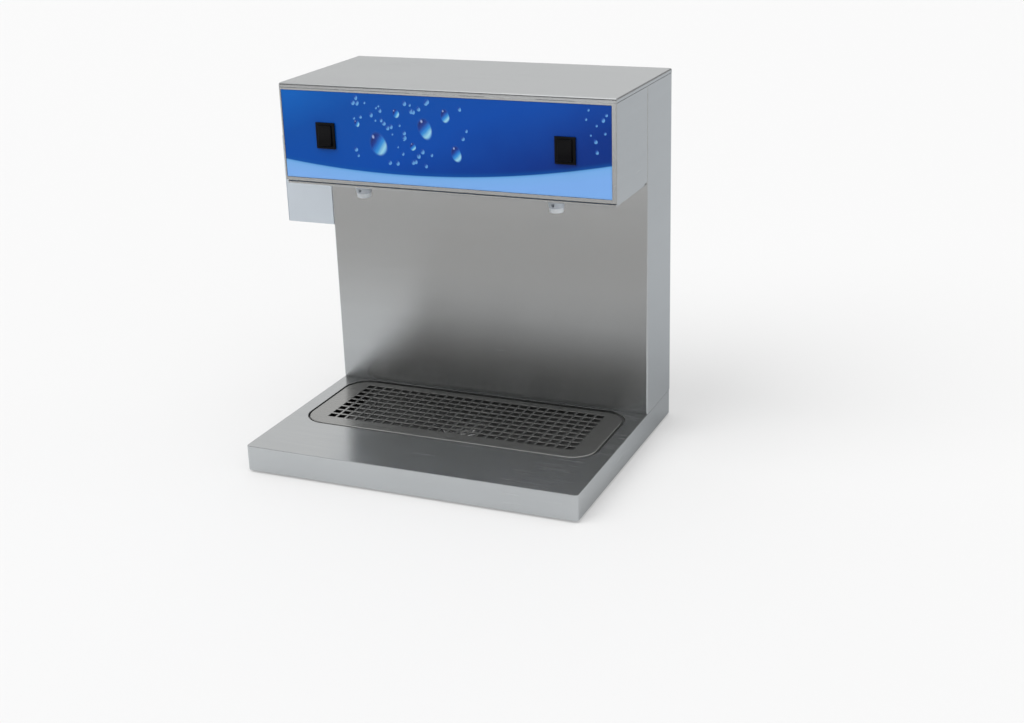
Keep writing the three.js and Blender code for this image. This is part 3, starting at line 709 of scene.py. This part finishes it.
def build_switch(side):
    """A bezel around the rocker, and the hollow body behind it that the rocker tilts in."""
    low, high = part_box(f"switch_body_{side}")
    x, front, z = (low.x + high.x) / 2, low.y, (low.z + high.z) / 2
    middle = Vector((x, front, z))
    bezel = rounded_box(
        f"switch_bezel_{side}", low, (high.x, front + BEZEL_THICK, high.z), 0.7 * MM, black_gloss)
    carve(bezel, rounded_box(
        "window", middle - WINDOW_HALF, middle + WINDOW_HALF, 0.4 * MM, black_gloss))
    well = rounded_box(
        f"switch_well_{side}", (x - WELL_X, front + WELL_START, z - WELL_Z),
        (x + WELL_X, front + WELL_END, z + WELL_Z), 0.4 * MM, black_matte)
    carve(well, rounded_box(
        "room", (x - ROOM_HALF.x, front + ROOM_START, z - ROOM_HALF.z),
        (x + ROOM_HALF.x, front + ROOM_END, z + ROOM_HALF.z), 0.3 * MM, black_matte))
    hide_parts(f"switch_body_{side}")


def build_rocker(side):
    """Thick pad with a dished face and rounded rims, tilted as it stands at rest."""
    builder = joined_copy(f"switch_rocker_{side}", 0.5)
    bevel(builder, sharp_edges(builder, 50.0), 0.9 * MM, 4)
    pad = new_piece(f"rocker_pad_{side}", builder, black_gloss, f"rocker_{side}", 50.0)
    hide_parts(f"switch_rocker_{side}")


# ---------------------------------------------------------------- printed drops

# These are in millimetres: x from the middle of the body, z from the counter.
DROP_SEED = 41
DROP_WIDTHS = (23, 19, 14, 12, 9, 8, 7)  # the larger drops
DROP_GAP = 9  # least room between two of them
SPECKS_LEFT = 60
SPECKS_RIGHT = 9
SWITCH_X = 150
SWITCH_MARGIN = 16  # specks stay this far from the middle of a switch
WAVE_MARGIN = 6  # and this far above the wave
PRINT_MARGIN = 2.5  # drops end this far below the top of the panel
DOME = [(1.0, -0.03), (1.0, 0.02), (0.8, 0.07), (0.45, 0.11), (0.0, 0.12)]  # reach, rise


def large_drops(chance):
    """x, z, width, height and tilt in degrees of each larger drop, clear of the others."""
    placed = []
    for width in DROP_WIDTHS:
        height = width * chance.uniform(1.2, 1.45)
        while True:
            x, z = chance.uniform(-112, 20), chance.uniform(366, 420)
            if all(math.hypot(x - d[0], z - d[1]) > (height + d[3]) / 2 + DROP_GAP for d in placed):
                break
        placed.append((x, z, width, height, chance.uniform(8, 32)))
    return placed


def small_specks(chance):
    """x, z and width of each speck: a cloud on the left and a few at the far right."""
    cloud = [(chance.gauss(-56, 36), chance.uniform(352, 430), chance.uniform(2.4, 6.0))
             for _ in range(SPECKS_LEFT)]
    few = [(chance.uniform(172, 200), chance.uniform(372, 428), chance.uniform(2.4, 5.0))
           for _ in range(SPECKS_RIGHT)]
    return cloud + few


def speck_fits(x, z, drops):
    """True where a speck is clear of the larger drops, the wave and the switches."""
    crest = WAVE_LOW / MM + WAVE_SLOPE * x + WAVE_BEND * MM * x * x
    crowded = any(math.hypot(x - d[0], z - d[1]) < max(d[2], d[3]) * 0.75 for d in drops)
    return not crowded and z > crest + WAVE_MARGIN and abs(abs(x) - SWITCH_X) > SWITCH_MARGIN


def add_drop(builder, layer, x, z, width, height, tilt, large):
    """A low dome with a slightly uneven outline; large is 1 for a large drop, 0 for a speck."""
    steps = 36 if large else 16
    turn = math.radians(tilt)
    top = panel_high.z - PRINT_MARGIN * MM
    rings = []
    for reach, rise in DOME:
        ring = []
        for i in range(steps if reach else 1):
            angle = 2 * math.pi * i / steps
            wobble = 1 + 0.05 * math.sin(2 * angle + x) + 0.03 * math.sin(3 * angle + z)
            side = reach * wobble * math.cos(angle) * width / 2
            lift = reach * wobble * math.sin(angle) * height / 2
            px = x + side * math.cos(turn) - lift * math.sin(turn)
            pz = z + side * math.sin(turn) + lift * math.cos(turn)
            vert = builder.verts.new((
                middle_x + px * MM, panel_low.y - rise * MM, min(pz * MM, top)))
            vert[layer] = (reach * math.cos(angle), reach * math.sin(angle), large)
            ring.append(vert)
        rings.append(ring)
    builder.faces.new(rings[0][::-1])
    for outer, inner in zip(rings, rings[1:]):
        join_rings(builder, outer, inner)


def build_drops():
    """Thin raised ink domes on the panel, each with its own local coordinates for the shader."""
    builder = bmesh.new()
    layer = builder.verts.layers.float_vector.new("drop")
    chance = random.Random(DROP_SEED)
    drops = large_drops(chance)
    specks = small_specks(chance)
    for x, z, width, height, tilt in drops:
        add_drop(builder, layer, x, z, width, height, tilt, 1.0)
    for x, z, width in specks:
        if speck_fits(x, z, drops):
            add_drop(builder, layer, x, z, width, width * 1.2, 20, 0.0)
    piece = new_piece("panel_water_drops", builder, drop_print, smooth=60.0)
    piece.modifiers.clear()


# ---------------------------------------------------------------- outlets and fittings

NUT_FLATS = 22  # across the flats, in mm
NUT_BORE = 8.3  # radius
SCREW_HEAD = 2.2  # height of a screw's head, in mm
SCREW_CROSS = [Vector((1.7, 0.42, 1.2)), Vector((0.42, 1.7, 1.2))]  # half sizes of its recess


def build_nozzle(side):
    """Tapered spout with a collar under the head, and above it a stem and a hose barb."""
    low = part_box(f"outlet_nozzle_{side}")[0]
    centre = middle_line(f"outlet_nozzle_{side}", "z")
    tip = low.z / MM
    collar = tray_low.z / MM - 0.3
    nozzle = turned(f"outlet_nozzle_body_{side}", [
        (5.6, tip), (7.8, tip), (8.2, tip + 0.4), (8.6, tip + 4.6), (8.3, tip + 5.0), (8.3, tip + 5.5),
        (9.0, tip + 6.0), (10.3, collar - 2.2), (10.6, collar - 1.8), (10.6, collar - 0.3),
        (10.3, collar), (6, collar), (6, collar + 14.3), (4, collar + 14.3), (4, collar + 24.3),
        (2.6, collar + 24.3), (2.6, tip + 12), (5.6, tip + 8),
    ], centre, nozzle_plastic)
    vent = turned("vent", [(0, -16), (1.9, -16), (1.9, -6), (0, -6)],
                  centre + Vector((-1.0 * MM, 0, low.z + 9.4 * MM)), nozzle_plastic, axis="y", steps=24)
    carve(nozzle, vent)
    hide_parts(f"outlet_nozzle_{side}")


def build_locknut(side, centre):
    """Six-sided nut with chamfered corners and a round bore, on a water fitting."""
    low, high = span(f"inlet_nut_{side}", "y")
    radius = NUT_FLATS / math.sqrt(3)
    nut = turned(f"inlet_locknut_{side}", [
        (NUT_BORE, low), (NUT_FLATS / 2 - 0.4, low), (radius, low + 0.8), (radius, high - 0.8),
        (NUT_FLATS / 2 - 0.4, high), (NUT_BORE, high),
    ], centre, brass, axis="y", steps=48)
    half = Vector((NUT_FLATS, NUT_FLATS, 4 * (high - low))) / 2 * MM
    middle = Vector((0, 0, (low + high) / 2 * MM))
    for i in range(6):
        turn = Matrix.Rotation(math.radians(60 * i + 30), 4, "Z")
        shift = Matrix.Translation(Vector((NUT_FLATS * MM, 0, 0)) + middle)
        place = Matrix.Translation(centre) @ TURNS["y"] @ turn @ shift
        carve(nut, rounded_box("flat", -half, half, 0.01 * MM, brass, segments=1, turn=place))
    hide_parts(f"inlet_nut_{side}")


def build_inlet(side):
    """Bulkhead water fitting: a barb inside, a flange, and a thread that stands out behind."""
    start, end = span(f"inlet_fitting_{side}", "y")
    centre = middle_line(f"inlet_fitting_{side}", "y")
    thread = []
    for i in range(9):
        thread += [(8.0, end - 10.4 + i), (7.5, end - 9.9 + i)]
    fitting = turned(f"inlet_fitting_body_{side}", [
        (2.5, start), (3.9, start), (3.9, start + 8), (11, start + 8), (11, start + 13),
        (8, start + 13),
    ] + thread + [(7.2, end), (2.5, end)], centre, brass, axis="y")
    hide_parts(f"inlet_fitting_{side}")
    build_locknut(side, centre)


def build_waste_spout():
    """Bulkhead spout for the waste hose, with a flange and rings of barbs."""
    start, end = span("drain_outlet", "y")
    barbs = []
    for i in range(4):
        barbs += [(5.2, end - 9 + 2.2 * i), (6.0, end - 8.6 + 2.2 * i)]
    spout = turned("drain_spout", [
        (2, start), (3, start), (3, end - 17), (4.9, end - 17), (4.9, end - 13.7), (9.3, end - 13.7),
        (9.5, end - 13.4), (9.5, end - 10.4), (9.2, end - 10),
    ] + barbs + [(4.6, end), (2, end)], middle_line("drain_outlet", "y"), white_plastic, axis="y")
    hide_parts("drain_outlet")


def build_gland():
    """Cable gland under the electrical box, with grip rings round its cap."""
    z = span("cable_gland", "z")[0]
    ribs = []
    for i in range(5):
        ribs += [(8.6, z + 3.0 + 0.8 * i), (8.2, z + 3.4 + 0.8 * i)]
    gland = turned("cable_gland_body", [
        (4, z), (6.4, z), (7.2, z + 0.6), (8.6, z + 2.6),
    ] + ribs + [
        (8.6, z + 7), (10.7, z + 7), (11, z + 7.4), (11, z + 11.6), (10.6, z + 12), (8, z + 12),
        (8, z + 22), (4, z + 22),
    ], middle_line("cable_gland", "z"), black_matte)
    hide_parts("cable_gland")


def build_feet():
    """Push-in rubber feet: a pad, and a neck and head that hold it in the base plate."""
    for node in ("foot_front_left", "foot_front_right", "foot_rear_left", "foot_rear_right"):
        foot = turned(node + "_pad", [
            (0, 0.5), (3, 0.5), (3.6, 0), (9.4, 0), (10.3, 0.8), (10.5, 1.4), (10.5, 3.9), (10.1, 4.2),
            (4, 4.2), (4, 6), (5.6, 6), (4.6, 8.1), (0, 8.1),
        ], middle_line(node, "z"), rubber)
        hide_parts(node)


def build_screws():
    """Pan-head screws with a cross recess, in the rear cover and in the lid of the side box."""
    places = [(f"rear_cover_screw_{i}", "-y") for i in range(1, 7)]
    places += [(f"side_box_screw_{i}", "x") for i in range(1, 5)]
    for node, axis in places:
        low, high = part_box(node)
        centre = (low + high) / 2  # moved to the underside of the head
        if axis == "-y":
            centre.y = high.y - SCREW_HEAD * MM
        else:
            centre.x = low.x + SCREW_HEAD * MM
        screw = turned(node + "_head", [
            (0, -SCREW_HEAD), (1.6, -2.15), (2.7, -1.8), (3.4, -1.2), (3.7, -0.5), (3.7, -0.3), (2, -0.3),
            (2, 7.6), (1.5, 8), (0, 8),
        ], centre, zinc, axis=axis, steps=32)
        head_top = Matrix.Translation((0, 0, -SCREW_HEAD * MM))
        place = Matrix.Translation(centre) @ TURNS[axis] @ head_top
        for half in SCREW_CROSS:
            carve(screw, rounded_box(
                "cross", -half * MM, half * MM, 0.15 * MM, zinc, segments=1, turn=place))
        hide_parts(node)


# ---------------------------------------------------------------- pieces kept from the frame

def dress_kept_nodes():
    """The CAD nodes that stay get eased edges, in mm, and their material."""
    looks = {
        "front_panel": (panel_print, 0.25), "side_box": (box_paint, 0.4),
        "side_box_lid": (box_paint, 0.4), "drain_nut": (white_plastic, 0.4),
        "drain_hose": (hose_material, 0.2), "terminal_block": (white_plastic, 0.4),
        "transformer": (core_material, 0.6), "valve_bracket": (steel, 0.3),
        "gland_nut": (black_matte, 0.4),
    }
    for side in SIDES:
        looks[f"wire_loom_{side}"] = (black_matte, 0.3)
        looks[f"nozzle_nut_{side}"] = (white_plastic, 0.4)
        looks[f"outlet_hose_{side}"] = (hose_material, 0.2)
        looks[f"supply_hose_{side}"] = (hose_material, 0.2)
        looks[f"valve_body_{side}"] = (brass, 0.3)
        looks[f"valve_coil_{side}"] = (coil_material, 0.5)
        looks[f"valve_plunger_{side}"] = (chrome, 0.3)
    for node, (material, width) in looks.items():
        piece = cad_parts[node]
        piece.data.materials.clear()
        piece.data.materials.append(material)
        piece.modifiers.new("weld", "WELD").merge_threshold = WELD
        ease_edges(piece, width * MM, 35.0)


# ---------------------------------------------------------------- studio

POOL_FRONT = -2.4  # the pool of light on the table, from far in front of the user's edge
POOL_BACK = 0.6
POOL_TONES = [  # distance from the object's middle, tone, warmth
    (POOL_FRONT, 0.92, 0.0), (-1.7, 0.66, 0.0), (-1.35, 0.35, 0.01), (-1.0, 0.29, 0.04),
    (-0.72, 0.21, 0.10), (-0.4, 0.28, 0.06), (-0.31, 0.70, -0.015), (-0.1, 0.56, -0.015),
    (0.3, 0.425, -0.04),
]
TABLE_SEEN = 0.45  # tone of the table for the camera
TABLE_GLOW = 0.305  # and the light it gives off for the camera, so that it looks white
AIR_SEEN = 0.955  # tone of the surroundings for the camera


def floor_material():
    """White table for the camera; for reflections, a pool of light with dark and light bands."""
    shader = Shader("studio_paper", Roughness=0.9)
    eye = shader.node("LightPath").outputs["Is Camera Ray"]
    depth = shader.parts(shader.place())[1]
    length = POOL_BACK - POOL_FRONT
    shade = shader.ramp(
        shader.math("MULTIPLY_ADD", depth, 1 / length, -POOL_FRONT / length),
        [((y - POOL_FRONT) / length, (tone * (1 + warmth), tone, tone * (1 - warmth), 1.0))
         for y, tone, warmth in POOL_TONES],
    )
    shader.surface_in("Base Color", shader.mix(eye, shade, grey(TABLE_SEEN)))
    shader.surface_in("Emission Color", grey(1.0))
    shader.surface_in("Emission Strength", shader.math("MULTIPLY", eye, TABLE_GLOW))
    return shader.material


def build_stage():
    builder = bmesh.new()
    bmesh.ops.create_grid(builder, x_segments=1, y_segments=1, size=20.0)
    mesh = bpy.data.meshes.new("studio_floor")
    builder.to_mesh(mesh)
    builder.free()
    mesh.materials.append(floor_material())
    floor = bpy.data.objects.new("studio_floor", mesh)
    bpy.context.scene.collection.objects.link(floor)


def soft_lamp(name, place, strength, width):
    """A very large far-off softbox that shines from a place towards the object; width in degrees."""
    light = bpy.data.lights.new(name, "SUN")
    light.energy = strength
    light.angle = math.radians(width)
    lamp = bpy.data.objects.new(name, light)
    lamp.location = place
    lamp.rotation_mode = "QUATERNION"
    lamp.rotation_quaternion = (-Vector(place)).to_track_quat("-Z", "Y")
    lamp.visible_glossy = False
    bpy.context.scene.collection.objects.link(lamp)


def surroundings(air):
    """What the metal mirrors, by direction: x is to the right, y away from the user, z up."""
    x, y, z = air.parts(air.node("TexCoord").outputs["Generated"])

    def band(value, start, end, low, high):
        return air.spread(value, low, high, start, end)

    wall = band(y, -0.30, 0.15, 0.06, 0.77)  # dim room behind the user, bright wall behind
    ceiling = band(z, 0.58, 0.76, 0.0, 0.72)
    left = band(x, -0.62, -0.85, 0.0, 0.62)
    overhead = band(z, 0.78, 0.9, 0.0, 1.5)
    # A dark panel on the right of the wall, which draws the dark line along the lid's right edge.
    flag_side = air.math("MINIMUM", band(x, 0.02, 0.12, 0.0, 1.0), band(x, 0.58, 0.7, 1.0, 0.0))
    flag_height = air.math("MINIMUM", band(z, -0.02, 0.06, 0.0, 1.0), band(z, 0.62, 0.75, 1.0, 0.0))
    flag = air.math("MULTIPLY", flag_side, flag_height)
    flag = air.math("MULTIPLY", flag, band(y, 0.2, 0.4, 0.0, 1.0))
    wall = air.math("MULTIPLY", wall, band(flag, 0.0, 1.0, 1.0, 0.35))
    tone = air.math("MAXIMUM", wall, ceiling)
    tone = air.math("MAXIMUM", tone, left)
    tone = air.math("MAXIMUM", tone, overhead)
    return air.node("CombineColor", {0: tone, 1: tone, 2: tone}).outputs[0]


def build_light():
    """Two softboxes, and surroundings that are plain for the camera and graded for the metal."""
    world = bpy.data.worlds.new("studio_air")
    bpy.context.scene.world = world
    world.use_nodes = True
    air = NodeTree(world.node_tree)
    mirrored = surroundings(air)
    eye = air.node("LightPath").outputs["Is Camera Ray"]
    seen = air.mix(eye, mirrored, grey(AIR_SEEN))
    air.feed(air.nodes["Background"].inputs["Color"], seen)
    soft_lamp("key_softbox", (-0.5, -0.62, 0.85), 2.2, 50)
    soft_lamp("fill_softbox", (0.75, -0.7, 0.55), 1.0, 70)


CAMERA_PLACE = Vector((778.7, -1570.0, 746.9)) * MM
CAMERA_TURN = math.radians(23.49)  # to the left of straight ahead
CAMERA_TILT = math.radians(20.39)  # below the horizon
CAMERA_ROLL = math.radians(-1.81)
CAMERA_LENS = 53.42


def build_camera():
    data = bpy.data.cameras.new("camera")
    data.lens = CAMERA_LENS
    data.sensor_width = 36.0
    camera = bpy.data.objects.new("camera", data)
    ahead = Vector((
        -math.sin(CAMERA_TURN) * math.cos(CAMERA_TILT),
        math.cos(CAMERA_TURN) * math.cos(CAMERA_TILT), -math.sin(CAMERA_TILT),
    ))
    level = Vector((math.cos(CAMERA_TURN), math.sin(CAMERA_TURN), 0))
    upward = level.cross(ahead)
    across = math.cos(CAMERA_ROLL) * level + math.sin(CAMERA_ROLL) * upward
    above = -math.sin(CAMERA_ROLL) * level + math.cos(CAMERA_ROLL) * upward
    turn = Matrix((across, above, -ahead)).transposed().to_4x4()
    camera.matrix_world = Matrix.Translation(CAMERA_PLACE) @ turn
    bpy.context.scene.collection.objects.link(camera)
    bpy.context.scene.camera = camera


# ---------------------------------------------------------------- build

build_camera()
build_housing()
build_grille()
build_drain()
for each_side in SIDES:
    build_switch(each_side)
    build_rocker(each_side)
    build_nozzle(each_side)
build_drops()
for each_side in SIDES:
    build_inlet(each_side)
build_waste_spout()
build_gland()
build_feet()
build_screws()
dress_kept_nodes()
build_stage()
build_light()
bpy.context.scene.view_settings.view_transform = "Standard"
